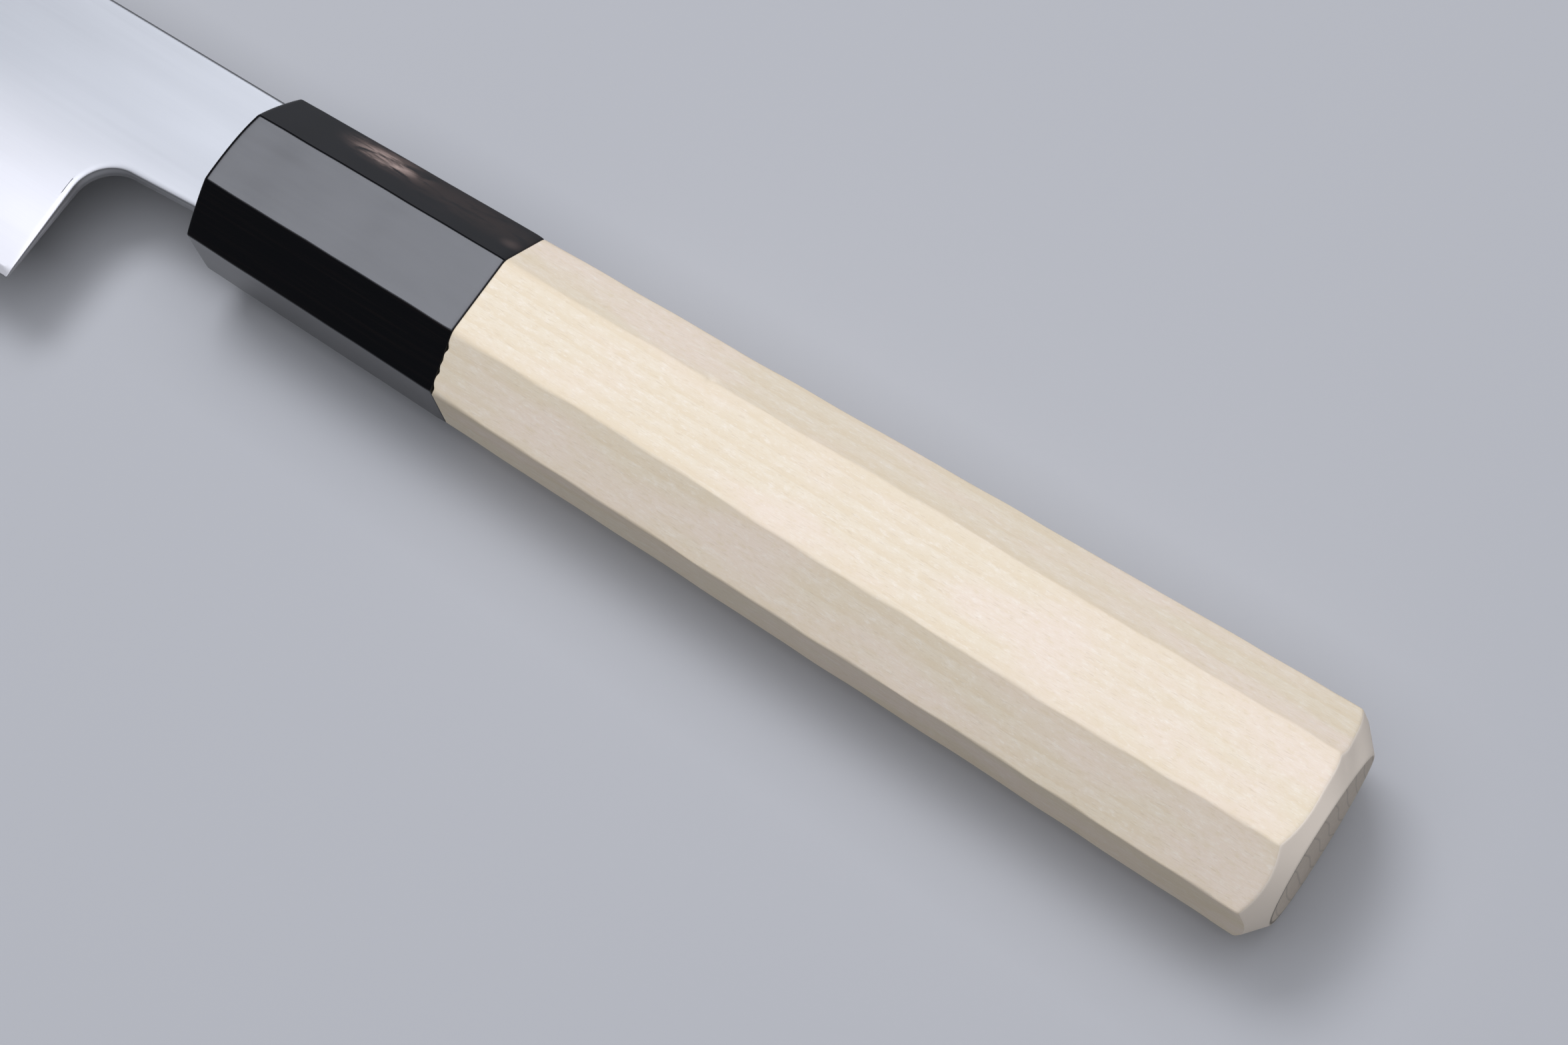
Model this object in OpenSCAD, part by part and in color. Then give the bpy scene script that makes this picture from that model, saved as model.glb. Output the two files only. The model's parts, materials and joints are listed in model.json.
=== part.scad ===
// Chef knife in the Japanese style: a forged double-bevel blade whose hidden tang is
// bedded in an octagonal wooden handle with a horn ferrule.
//
// Everything is drawn in working coordinates: x runs along the handle's axis from the ferrule's
// front face (x = 0) to the butt (+x) and to the blade's tip (-x), y points to the spine, and
// z is the thickness. in_frame() then puts the origin at the bottom centre of the whole knife.

/* [Handle] */
// Length of the whole handle, ferrule included
handle_l = 140; // [115:1:170]
// Height of the handle at the ferrule's front, from the edge side to the spine side
front_h = 20.3; // [18:0.1:25]
// Thickness of the handle at the ferrule's front
front_t = 19; // [17.5:0.1:24]
// Height of the handle at its widest place, just ahead of the butt's bevel
butt_h = 25.3; // [20:0.1:31]
// Thickness of the handle at its widest place
butt_t = 22.5; // [19:0.1:28]
// How far each corner face cuts into the broad face at the ferrule's front
front_cut = 5.5; // [4:0.1:6.5]
// How far each corner face cuts into the broad face at the butt
butt_cut = 6.8; // [4.5:0.1:8.2]
// Angle of the corner faces, measured from the handle's height
corner_turn = 48; // [42:1:52]
// Length of the bevel around the butt, along the axis
bevel_l = 3.1; // [1:0.1:5]
// How far the butt's bevel draws in the faces
bevel_in = 1.8; // [0.5:0.1:3]

/* [Ferrule] */
// Length of the horn ferrule
ferrule_l = 34.5; // [25:0.5:42]
// Diameter of the bore that the handle's tenon fills
bore_d = 14; // [13.4:0.1:15]
// Glue film between the tenon and the bore, on the radius
glue_gap = 0.05; // [0.02:0.01:0.15]
// Small bevel around the ferrule's front face
lip = 0.5; // [0.2:0.1:1]

/* [Blade] */
// Length of the cutting edge, from the heel to the tip
edge_l = 210; // [170:5:270]
// Height of the blade at the heel, from the spine to the edge
heel_h = 33.9; // [28:0.1:50]
// How far the spine lies below the handle's spine-side face
spine_step = 0.55; // [0.2:0.05:2]
// Thickness of the spine at the handle
spine_t = 3; // [2.4:0.1:4]
// Thickness of the blade at the level of the neck's underside
mid_t = 2.5; // [2:0.1:3]
// Thickness of the blade behind the edge's own bevel
edge_t = 0.4; // [0.2:0.05:0.8]
// Thickness of the blade near the tip
tip_t = 1; // [0.6:0.1:2]
// Angle of the edge's own bevel, on each side
edge_angle = 15; // [10:1:20]

/* [Outline of the blade] */
// Length of the straight part of the edge, from the heel
flat_l = 45; // [20:5:70]
// Length of the steeper curve before the tip. A gentle curve joins it to the straight part
sweep_l = 70; // [40:5:80]
// How far the gentle curve rises
belly_rise = 6.5; // [4:0.5:9]
// Length over which the spine falls towards the tip
drop_l = 90; // [50:5:130]
// How far the tip lies below the spine
tip_drop = 9; // [4:0.5:14]

/* [Neck and tang] */
// Length of the neck between the ferrule and the heel
neck_l = 16.5; // [12:0.5:25]
// Height of the neck at the ferrule
neck_h = 15.6; // [13:0.1:17]
// How much higher the neck is where it meets the blade
neck_rise = 0.7; // [0:0.1:2]
// Radius of the notch between the neck and the heel
notch_r = 5; // [3:0.5:8]
// Length of the tang inside the handle
tang_l = 95; // [60:1:105]
// Height of the tang at the ferrule's front
tang_h = 10.5; // [8:0.1:11]
// Height of the tang at its end
tang_end_h = 6; // [4:0.1:8]
// Thickness of the tang at the ferrule's front
tang_t = 2.4; // [1.6:0.1:2.4]
// Thickness of the tang at its end
tang_end_t = 1.6; // [1:0.1:1.6]
// Thickness of the bedding on each side of the tang
bed_gap = 0.4; // [0.2:0.05:0.6]
// Depth of the bedding beyond the tang's end
bed_end = 1.5; // [0.5:0.5:5]

/* [Hidden] */
$fn = 96;
fine = 720;                       // sides of the very large circles
cut = 0.1;                        // how far a cutting tool stands out of what it cuts
far = 400;                        // longer than any piece

taper_l = handle_l - bevel_l;     // length over which the handle widens
spine_y = front_h / 2 - spine_step;
edge_y = spine_y - heel_h;
neck_y = spine_y - neck_h;        // underside of the neck at the ferrule
root_y = neck_y - neck_rise;      // underside of the neck at the blade
heel_x = -neck_l;
tip = [heel_x - edge_l, spine_y - tip_drop];

// The edge: a straight part, then an arc tangent to it, then an arc tangent to that one
belly_start = [heel_x - flat_l, edge_y];
sweep_start = [tip.x + sweep_l, edge_y + belly_rise];
belly_r = arc_radius(sweep_start - belly_start, [0, 1]);
belly_turn = asin((belly_start.x - sweep_start.x) / belly_r);
sweep_normal = [sin(belly_turn), cos(belly_turn)];
sweep_r = arc_radius(tip - sweep_start, sweep_normal);
// The spine: straight, then an arc tangent to it
drop_x = tip.x + drop_l;
drop_r = arc_radius([-drop_l, -tip_drop], [0, -1]);

// Radius of the arc that leaves a point square to normal and passes the point at reach from it
function arc_radius(reach, normal) = reach * reach / (2 * reach * normal);

// Half of the width between two opposite corner faces, for a section of height h and thickness t
function corner_half(h, t, c) = cos(corner_turn) * (h / 2 - c) + sin(corner_turn) * t / 2;

module in_frame() {
    translate([-(tip.x + handle_l) / 2, -(butt_h / 2 + edge_y) / 2, butt_t / 2])
        children();
}

// ---- Shapes of the handle ----

// Everything between two opposite faces of the handle, which stand turn degrees from the height
module face_pair(front_half, butt_half, turn) {
    side = [
        [0, front_half - lip], [lip, front_half + (butt_half - front_half) * lip / taper_l],
        [taper_l, butt_half], [handle_l, butt_half - bevel_in]
    ];
    other_side = [for (i = [3:-1:0]) [side[i].x, -side[i].y]];
    rotate([turn, 0, 0])
        linear_extrude(far, center = true)
            polygon(concat(side, other_side));
}

// The outer shape of the handle, ferrule included: four pairs of faces
module octagon() {
    front_half = corner_half(front_h, front_t, front_cut);
    butt_half = corner_half(butt_h, butt_t, butt_cut);
    intersection() {
        face_pair(front_h / 2, butt_h / 2, 0);
        face_pair(front_t / 2, butt_t / 2, 90);
        face_pair(front_half, butt_half, corner_turn);
        face_pair(front_half, butt_half, -corner_turn);
    }
}

// What lies between two planes square to the axis
module between(x0, x1) {
    translate([x0, -far / 2, -far / 2])
        cube([x1 - x0, far, far]);
}

// A round bar along the axis
module bar(x0, x1, d) {
    translate([x0, 0, 0])
        rotate([0, 90, 0])
            cylinder(h = x1 - x0, d = d);
}

// ---- The tang and its slot ----

// A bar of rectangular section that narrows towards the butt at the tang's own rate.
// grow is added on each side of the tang.
module tang_wedge(x0, x1, grow) {
    h = [for (x = [x0, x1]) tang_h + (tang_end_h - tang_h) * x / tang_l + 2 * grow];
    t = [for (x = [x0, x1]) tang_t + (tang_end_t - tang_t) * x / tang_l + 2 * grow];
    intersection() {
        linear_extrude(far, center = true)
            polygon([[x0, -h[0] / 2], [x1, -h[1] / 2], [x1, h[1] / 2], [x0, h[0] / 2]]);
        rotate([90, 0, 0])
            linear_extrude(far, center = true)
                polygon([[x0, -t[0] / 2], [x1, -t[1] / 2], [x1, t[1] / 2], [x0, t[0] / 2]]);
    }
}

// ---- Shapes of the blade ----

// Outline of the blade and its neck, seen from the side, with the edge still square
module outline() {
    translate([tip.x, edge_y])
        square([edge_l, heel_h]);
    polygon([[heel_x, spine_y], [0, spine_y], [0, neck_y], [heel_x, root_y]]);
    difference() {
        polygon([
            [heel_x, root_y - notch_r], [heel_x, root_y],
            [heel_x + notch_r, root_y + neck_rise * notch_r / neck_l],
            [heel_x + notch_r, root_y - notch_r]
        ]);
        translate([heel_x + notch_r, root_y - notch_r])
            circle(r = notch_r);
    }
}

// Everything below the spine
module under_spine() {
    between(drop_x, far);
    intersection() {
        between(-far, drop_x);
        translate([drop_x, spine_y - drop_r, 0])
            cylinder(h = far, r = drop_r, center = true, $fn = fine);
    }
}

// Thickness that falls from the spine to the edge
module grind() {
    rotate([90, 0, 90])
        linear_extrude(2 * far, center = true)
            polygon([
                [spine_y, spine_t / 2], [root_y, mid_t / 2], [edge_y, edge_t / 2],
                [edge_y, -edge_t / 2], [root_y, -mid_t / 2], [spine_y, -spine_t / 2]
            ]);
}

// Thickness that falls from the handle to the tip
module distal_taper() {
    rotate([90, 0, 0])
        linear_extrude(far, center = true)
            polygon([
                [tip.x, -tip_t / 2], [0, -spine_t / 2], [0, spine_t / 2], [tip.x, tip_t / 2]
            ]);
}

// A thick disc that thins to a sharp rim at the edge's own bevel. The edge's curves are its rim.
module sharp_disc(centre, r) {
    flat_r = r - spine_t / tan(edge_angle);
    translate([centre.x, centre.y, 0])
        rotate_extrude($fn = fine)
            polygon([
                [0, -spine_t], [flat_r, -spine_t], [r, 0], [flat_r, spine_t], [0, spine_t]
            ]);
}

// Everything behind the cutting edge: the neck, the straight part and the two curves
module behind_edge() {
    reach = 2 * heel_h;
    between(heel_x, far);
    intersection() {
        between(belly_start.x, heel_x);
        rotate([90, 0, 90])
            linear_extrude(2 * far, center = true)
                polygon([
                    [edge_y, 0], [edge_y + reach, reach * tan(edge_angle)],
                    [edge_y + reach, -reach * tan(edge_angle)]
                ]);
    }
    intersection() {
        between(sweep_start.x, belly_start.x);
        sharp_disc(belly_start + [0, belly_r], belly_r);
    }
    intersection() {
        between(-far, sweep_start.x);
        sharp_disc(sweep_start + sweep_r * sweep_normal, sweep_r);
    }
}

// ---- The four pieces ----

// Blade, neck and tang: one piece of steel
module blade() color([0.80, 0.82, 0.86]) in_frame() {
    intersection() {
        linear_extrude(spine_t, center = true)
            outline();
        under_spine();
        grind();
        distal_taper();
        behind_edge();
    }
    tang_wedge(0, tang_l, 0);
}

// Black horn collar, bored for the handle's tenon
module ferrule() color([0.08, 0.08, 0.09]) in_frame() {
    difference() {
        intersection() {
            octagon();
            between(0, ferrule_l);
        }
        bar(-cut, ferrule_l + cut, bore_d);
    }
}

// Wooden handle, with the tenon that fills the ferrule and the slot for the tang
module handle() color([0.88, 0.83, 0.74]) in_frame() {
    difference() {
        union() {
            intersection() {
                octagon();
                between(ferrule_l, handle_l);
            }
            bar(0, ferrule_l + cut, bore_d - 2 * glue_gap);
        }
        tang_wedge(-cut, tang_l + bed_end, bed_gap);
    }
}

// Cured resin that fills the slot around the tang
module tang_bedding() color([0.72, 0.62, 0.42]) in_frame() {
    difference() {
        tang_wedge(0, tang_l + bed_end, bed_gap);
        tang_wedge(0, tang_l, 0);
    }
}

blade();
ferrule();
handle();
tang_bedding();
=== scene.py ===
# %% [markdown]
# # A chef's knife with an octagonal wooden handle
#
# This lesson dresses a finished CAD model of a Japanese-style kitchen knife. The CAD model holds the true
# sizes of four pieces: the steel blade with its hidden tang, the black horn ferrule, the pale magnolia
# handle, and the resin that beds the tang. It has flat facets and one plain colour per piece.
#
# Here each piece is made again as a fine surface with the softened edges that a craftsman leaves, and gets
# a material worked out from noise: wood grain, polished horn, satin steel. Nothing is moved: every size
# below comes from the CAD model's own boxes, or repeats a size of its design.

# %% Load the frame
import json

import bpy
import numpy as np
from mathutils import Matrix, Vector

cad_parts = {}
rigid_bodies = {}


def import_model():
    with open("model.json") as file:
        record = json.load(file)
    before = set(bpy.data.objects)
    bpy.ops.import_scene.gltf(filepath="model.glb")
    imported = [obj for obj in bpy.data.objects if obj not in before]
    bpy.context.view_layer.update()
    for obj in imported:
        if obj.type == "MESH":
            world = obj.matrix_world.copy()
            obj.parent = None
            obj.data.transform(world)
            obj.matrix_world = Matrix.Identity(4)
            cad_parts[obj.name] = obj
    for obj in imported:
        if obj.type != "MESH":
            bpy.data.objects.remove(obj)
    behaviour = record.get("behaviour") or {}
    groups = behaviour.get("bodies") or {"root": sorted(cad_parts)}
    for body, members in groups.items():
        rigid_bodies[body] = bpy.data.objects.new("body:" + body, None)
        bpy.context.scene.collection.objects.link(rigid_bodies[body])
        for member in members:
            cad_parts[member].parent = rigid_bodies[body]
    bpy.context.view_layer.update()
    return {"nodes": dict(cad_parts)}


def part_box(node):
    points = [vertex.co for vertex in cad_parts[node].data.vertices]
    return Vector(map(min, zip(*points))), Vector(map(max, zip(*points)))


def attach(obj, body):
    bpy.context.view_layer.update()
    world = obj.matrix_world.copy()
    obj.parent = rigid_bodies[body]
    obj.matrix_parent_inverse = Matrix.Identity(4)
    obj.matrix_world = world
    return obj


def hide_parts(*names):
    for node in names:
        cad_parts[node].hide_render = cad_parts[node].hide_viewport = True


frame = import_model()
print("CAD pieces:", sorted(frame["nodes"]))

# %% [markdown]
# ## Sizes
#
# Blender works in metres, so a size in millimetres is written as a number times MM. The shapes are worked
# out in coordinates of the handle: x runs along its axis from the ferrule's front face to the butt, y
# points to the spine, z is up. ORIGIN carries them to the knife's own frame.

# %% Places that come from the CAD model
MM = 0.001
blade_low, blade_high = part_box("blade")
ferrule_low, ferrule_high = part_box("ferrule")
handle_low, handle_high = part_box("handle")

ORIGIN = np.array([
    ferrule_low.x,
    (handle_low.y + handle_high.y) / 2,
    (handle_low.z + handle_high.z) / 2,
])
FERRULE_L = ferrule_high.x - ferrule_low.x
HANDLE_L = handle_high.x - ferrule_low.x
TIP_X = blade_low.x - ORIGIN[0]
SPINE_Y = blade_high.y - ORIGIN[1]
EDGE_Y = blade_low.y - ORIGIN[1]
print(f"handle {HANDLE_L / MM:.1f} mm, ferrule {FERRULE_L / MM:.1f} mm, blade from x {TIP_X / MM:.1f} mm")

# %% Sizes that repeat the design
BEVEL_L = 3.1 * MM         # length of the bevel around the butt
CORNER_TURN = 48           # the corner faces' angle in degrees, measured from the handle's height
FRONT_CUT = 5.5 * MM       # how far a corner face cuts into the broad face, at the ferrule's front
BUTT_CUT = 6.8 * MM        # the same at the butt
BORE_R = 7.0 * MM          # the ferrule's bore
TENON_R = 6.95 * MM        # the tenon that fills it
NECK_L = 16.5 * MM         # from the ferrule to the heel
NECK_H = 15.6 * MM         # at the ferrule
NECK_RISE = 0.7 * MM       # how much higher the neck is at the blade
NOTCH_R = 5.0 * MM         # rounding between the neck and the heel
FLAT_L = 45.0 * MM         # straight part of the edge
SWEEP_L = 70.0 * MM        # steeper curve before the tip
BELLY_RISE = 6.5 * MM      # rise of the gentle curve between them
DROP_L = 90.0 * MM         # length over which the spine falls
TIP_DROP = 9.0 * MM        # how far it falls
SPINE_T = 3.0 * MM         # thickness of the spine at the handle
TIP_T = 1.0 * MM           # thickness near the tip
EDGE_T = 0.4 * MM          # thickness just behind the edge's own bevel
EDGE_ANGLE = np.radians(15)
TANG_L = 95.0 * MM
TANG_H = (10.5 * MM, 6.0 * MM)   # height of the tang at the ferrule's front and at its end
TANG_T = (2.4 * MM, 1.6 * MM)    # its thickness at the same two places
BED_GAP = 0.4 * MM         # resin on each side of the tang
BED_END = 1.5 * MM         # resin beyond its end
print(f"edge {(-NECK_L - TIP_X) / MM:.0f} mm, height at the heel {(SPINE_Y - EDGE_Y) / MM:.1f} mm")

# %% [markdown]
# ## Surfaces from rings
#
# Every piece of this knife is a tube of some kind. A tube is easy to describe as a stack of closed rings,
# each with the same number of points: point c of ring r joins its neighbours in that ring and the points
# c of the rings before and after. So a shape is only an array of points, rings by columns by xyz, and
# whole arrays of it are worked out at once.
#
# A tube's ends are closed with a centre point and a fan of triangles, or, for a collar that runs around a
# bore, the last ring joins the first one again.

# %% A mesh from a stack of rings
def ring_surface(name, rings, looped=False):
    """A closed mesh from an array of points, rings by columns by xyz.

    Each ring is closed. Neighbouring rings are joined by quads. With looped, the last ring joins the
    first; without it, each end gets a centre point, the mean of its ring, and a fan of triangles.
    The mesh's volume, a sum of (a x b) . c over its faces, tells whether the faces point outwards.
    """
    count, columns = rings.shape[:2]
    index = np.arange(count * columns).reshape(count, columns)
    upper = np.roll(index, -1, axis=0) if looped else index[1:]
    lower = index if looped else index[:-1]
    quads = np.stack([lower, np.roll(lower, -1, 1), np.roll(upper, -1, 1), upper], -1).reshape(-1, 4)
    points = rings.reshape(-1, 3)
    fans = np.empty((0, 3), int)
    if not looped:
        points = np.vstack([points, rings[0].mean(0), rings[-1].mean(0)])
        centre = np.full(columns, count * columns)
        first, last = index[0], index[-1]
        fans = np.vstack([
            np.stack([centre, np.roll(first, -1), first], -1),
            np.stack([centre + 1, last, np.roll(last, -1)], -1),
        ])
    a, b, c, d = (points[quads[:, i]] for i in range(4))
    volume = (np.cross(a, b) * c).sum() + (np.cross(a, c) * d).sum()
    if volume < 0:
        quads, fans = quads[:, ::-1], fans[:, ::-1]
    mesh = bpy.data.meshes.new(name)
    mesh.from_pydata((points + ORIGIN).tolist(), [], quads.tolist() + fans.tolist())
    mesh.polygons.foreach_set("use_smooth", np.ones(len(mesh.polygons), bool))
    mesh.update()
    piece = bpy.data.objects.new(name, mesh)
    bpy.context.scene.collection.objects.link(piece)
    print(f"{name}: {len(mesh.vertices)} points, {len(mesh.polygons)} faces")
    return piece


def add_attribute(piece, name, values):
    """Stores one number per point of the rings. The centre points of the ends take the mean of theirs."""
    flat = values.reshape(-1)
    if len(piece.data.vertices) > len(flat):
        flat = np.append(flat, [values[0].mean(), values[-1].mean()])
    layer = piece.data.attributes.new(name, "FLOAT", "POINT")
    layer.data.foreach_set("value", flat.astype(np.float32))


def with_x(x, yz):
    """Joins x, one per ring or one per point, to an array of y and z."""
    return np.concatenate([np.broadcast_to(x, yz.shape[:-1])[..., None], yz], -1)


def eased(share):
    """Shares from 0 to 1, moved so that they crowd together at both ends: half a cosine wave."""
    return 0.5 - 0.5 * np.cos(np.pi * share)


def smoothed(rings, passes):
    """Rings with rounded creases: each pass moves a ring halfway to the mean of its two neighbours."""
    rings = rings.copy()
    for _ in range(passes):
        rings[1:-1] = 0.5 * rings[1:-1] + 0.25 * (rings[:-2] + rings[2:])
    return rings

# %% [markdown]
# ## The octagon
#
# The handle and the ferrule are one eight-sided bar that widens towards the butt. It could be a polygon
# with a Bevel modifier, but then every ring would depend on how the modifier spreads its points. Instead
# the section is written down: shrink the octagon by a radius, then add a circle of that radius to its
# outline. Flat faces stay flat and each arris becomes a true arc. The faces were cut by hand, so their
# distance from the axis wanders by about a tenth of a millimetre.

# %% Columns of the handle
ARC_STEPS = 7              # columns around each arris
SIDE_STEPS = 28            # columns across each face
face_degrees = [0, CORNER_TURN, 90, 180 - CORNER_TURN, 180, 180 + CORNER_TURN, 270, 360 - CORNER_TURN]
FACE_TURN = np.radians(face_degrees)         # the direction that each face looks in, from y towards z

step = np.tile(np.arange(ARC_STEPS + SIDE_STEPS), 8)
corner = np.repeat(np.arange(8), ARC_STEPS + SIDE_STEPS)
next_corner = (corner + 1) % 8
arc_share = np.minimum(step / (ARC_STEPS - 1), 1)
turn_by = (FACE_TURN[next_corner] - FACE_TURN[corner]) % (2 * np.pi)
normal_turn = FACE_TURN[corner] + arc_share * turn_by
across = eased(np.clip((step - ARC_STEPS + 1) / (SIDE_STEPS + 1), 0, 1))
near_arris = np.abs(2 * across - 1)          # 1 on the arrises, 0 in the middle of a face
print("columns around the handle:", len(step))

# %% Section of the handle
def ring(corners, radius):
    """Outline of a polygon of eight corners grown by a radius.

    A point is (1 - across) times its corner plus across times the next one, plus the radius along the
    face's normal, which turns from one face to the next while the point rounds a corner.
    """
    normal = np.stack([np.cos(normal_turn), np.sin(normal_turn)], -1)
    share = across[:, None]
    straight = (1 - share) * corners[..., corner, :] + share * corners[..., next_corner, :]
    return straight + np.asarray(radius)[..., None, None] * normal


def octagon_corners(distance):
    """Corners of the octagon whose faces stand at these distances from the axis, eight per ring.

    A corner is where two neighbouring faces meet: y cos a + z sin a = the distance, for both of them.
    """
    a, b = FACE_TURN, np.roll(FACE_TURN, -1)
    da, db = distance, np.roll(distance, -1, axis=-1)
    y = (da * np.sin(b) - db * np.sin(a)) / np.sin(b - a)
    z = (db * np.cos(a) - da * np.cos(b)) / np.sin(b - a)
    return np.stack([y, z], -1)


def faces_from(half_h, half_t, cut):
    """Distances of the eight faces from the axis, in the order of FACE_TURN.

    A corner face passes the point of the broad face where it cuts in, half_h less the cut, half_t.
    """
    turn = np.radians(CORNER_TURN)
    c = np.cos(turn) * (half_h - cut) + np.sin(turn) * half_t
    return np.array([half_h, c, half_t, c, half_h, c, half_t, c])

# %% The handle's taper
TAPER_L = HANDLE_L - BEVEL_L
butt_half = np.array([handle_high.y - handle_low.y, handle_high.z - handle_low.z]) / 2
seam_half = np.array([ferrule_high.y - ferrule_low.y, ferrule_high.z - ferrule_low.z]) / 2
front_half = butt_half + (seam_half - butt_half) * TAPER_L / (TAPER_L - FERRULE_L)
FRONT_FACES = faces_from(*front_half, FRONT_CUT)
BUTT_FACES = faces_from(*butt_half, BUTT_CUT)
WAVES = np.array([[93, 0.060], [37, 0.035], [13, 0.022], [7.1, 0.012]]) * MM   # length and height of each
WAVE_PHASE = (2.4, 4.8, 1.1, 3.7)    # how much further each wave has come on the next face
HORN_SHARE = 0.35          # height of the waves on the horn
GROW_L = 12 * MM           # length over which they grow to their full height on the wood
print("section at the front", 2 * front_half / MM, "and at the butt", 2 * butt_half / MM)


def face_distance(x):
    """Distance of each face from the axis at x.

    A straight taper, less the waves left by cutting the faces by hand, which have a phase of their own on
    each face. A wave only takes wood away: it is (1 - sin) times its height. The horn, being harder, came
    out flatter: there the waves have HORN_SHARE of their height.
    """
    x = np.asarray(x)[:, None, None]
    height = HORN_SHARE + (1 - HORN_SHARE) * np.clip((x - FERRULE_L) / GROW_L, 0, 1)
    phase = np.arange(8)[:, None] * WAVE_PHASE
    away = (height * (1 - np.sin(2 * np.pi * x / WAVES[:, 0] + phase)) * WAVES[:, 1]).sum(-1)
    return FRONT_FACES + (BUTT_FACES - FRONT_FACES) * x[..., 0] / TAPER_L - away


def octagon_rings(x, inset, radius):
    """Rings of the handle's outer shape at x, drawn in by inset, with arrises of this radius.

    Inset and radius are one number, or one for each ring.
    """
    x = np.asarray(x, float)
    radius = np.broadcast_to(radius, x.shape)
    inset = np.broadcast_to(inset, x.shape)[:, None]
    return ring(octagon_corners(face_distance(x) - inset - radius[:, None]), radius)

# %% Round and flat holes with the same columns
PLAIN_ARRIS = 0.5 * MM     # arrises of the octagon that the circles take their columns from
SLOT_ARRIS = 0.08 * MM     # corners of the slot and of the resin in it
SIDE_SHARE = 0.35          # where the two extra points of each long side stand

outline = octagon_rings([0.0], 0, PLAIN_ARRIS)[0]
outline_turn = np.arctan2(outline[:, 1], outline[:, 0])        # direction of each column from the axis


def circle_rings(radius):
    """Circles of these radii: the radius times the cosine and sine of each column's direction."""
    turn = np.stack([np.cos(outline_turn), np.sin(outline_turn)], -1)
    return np.asarray(radius, float)[:, None, None] * turn


def slot_rings(x, grow):
    """Rectangles around the tang at x, grown on each side.

    Like the octagon they have eight corners: their own four, and two more on each long side.
    """
    share = np.asarray(x, float)[:, None] / TANG_L
    half_h = (TANG_H[0] + (TANG_H[1] - TANG_H[0]) * share) / 2 + grow
    half_t = (TANG_T[0] + (TANG_T[1] - TANG_T[0]) * share) / 2 + grow
    side = np.array([1, SIDE_SHARE, -SIDE_SHARE, -1, -1, -SIDE_SHARE, SIDE_SHARE, 1])
    top = np.array([1, 1, 1, 1, -1, -1, -1, -1])
    corners = np.stack([(half_h - SLOT_ARRIS) * side, (half_t - SLOT_ARRIS) * top], -1)
    return ring(corners, np.full(len(corners), SLOT_ARRIS))

# %% [markdown]
# ## The wooden handle
#
# One piece of magnolia: the slot for the tang, the tenon that fills the ferrule, the shoulder, the eight
# faces, the bevelled butt. It could be cut from a bar with Boolean modifiers, as the CAD model is, but
# their cuts leave long thin faces that shade badly. Instead a profile is carried around the axis, from the
# slot's bottom out over the tenon and along the outside to the butt, and each stop of it is a ring.

# %% Slot, tenon and shoulder
WOOD_ARRIS = 0.55 * MM
ARRIS_WAVES = np.array([2.3, 4.1, 1.4]) * MM   # the arris's radius wanders along x at these rates
UNEVEN = 0.2               # and by this share of it for each
SOFT_ARRIS = 0.9 * MM      # the arrises are rounder where they meet the horn
SOFT_L = 6.0 * MM          # length over which that fades
SHOULDER_EASE = 0.25 * MM  # softened edge where wood meets horn
TENON_EASE = 0.25 * MM     # softened front edge of the tenon
TENON_REAR = 0.2 * MM      # its last ring before the shoulder
END_RING = 0.3 * MM        # a ring this close to each end of a long wall keeps its shading even
QUARTER_STEPS = 6          # rings around a softened edge


def wood_arris(x):
    """Radius of the arrises at x.

    WOOD_ARRIS times 1 plus three small sines, uneven as sandpaper leaves it, plus SOFT_ARRIS times an
    exponential that fades away from the ferrule.
    """
    x = np.asarray(x)
    uneven = np.sin(x[..., None] / ARRIS_WAVES).sum(-1)
    return WOOD_ARRIS * (1 + UNEVEN * uneven) + SOFT_ARRIS * np.exp(-(x - FERRULE_L) / SOFT_L)


slot_x = np.array([TANG_L + BED_END, TANG_L + BED_END - END_RING, END_RING, 0.0])
slot = with_x(slot_x[:, None], slot_rings(slot_x, BED_GAP))
tenon_x = np.array([0.0, TENON_EASE / 5, TENON_EASE, FERRULE_L - TENON_REAR, FERRULE_L])
tenon_less = TENON_EASE * np.array([1, 0.32, 0, 0, 0])
tenon = with_x(tenon_x[:, None], circle_rings(TENON_R - tenon_less))

quarter = np.linspace(0, np.pi / 2, QUARTER_STEPS)
ease_x = FERRULE_L + SHOULDER_EASE * (1 - np.cos(quarter))
ease_in = SHOULDER_EASE * (1 - np.sin(quarter))
shoulder_yz = octagon_rings(ease_x, ease_in, wood_arris(ease_x))
print(f"slot {slot_x[0] / MM:.1f} mm deep, tenon {2 * TENON_R / MM:.1f} mm across")

# %% [markdown]
# A few crumbs of the wood's edge broke away along the seam on one corner face, and one arris has a small
# knock. Both could be sculpted, but a bump with a formula stays the same on every run. A crumb is a short
# stretch of the outline where the shoulder starts a little further back, and the knock draws the points
# near one place towards the axis.

# %% Crumbs along the seam, and the body
CRUMBS = np.array([[-6.5, 0.28], [-7.7, 0.12], [-8.8, 0.24], [-10.4, 0.30]]) * MM     # y and depth of each
CRUMB_L = 0.35 * MM
CRUMB_FADE = 0.6 * MM      # how fast they fade along the handle
UPPER_Z = 4 * MM           # they are only on the faces above this height
DENT = np.array([61.4, 5.2, 10.3]) * MM
DENT_SIZE = np.array([0.55, 0.7, 0.7]) * MM
DENT_DEPTH = 0.22 * MM
ARRIS_REACH = 11.5 * MM    # distance of that arris from the axis
DENT_ROOM = 1.2 * MM       # extra rings on each side of the dent
BODY_RINGS, DENT_RINGS = 170, 12
BODY_START, BODY_END = FERRULE_L + 0.8 * MM, TAPER_L - 3 * MM

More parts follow.
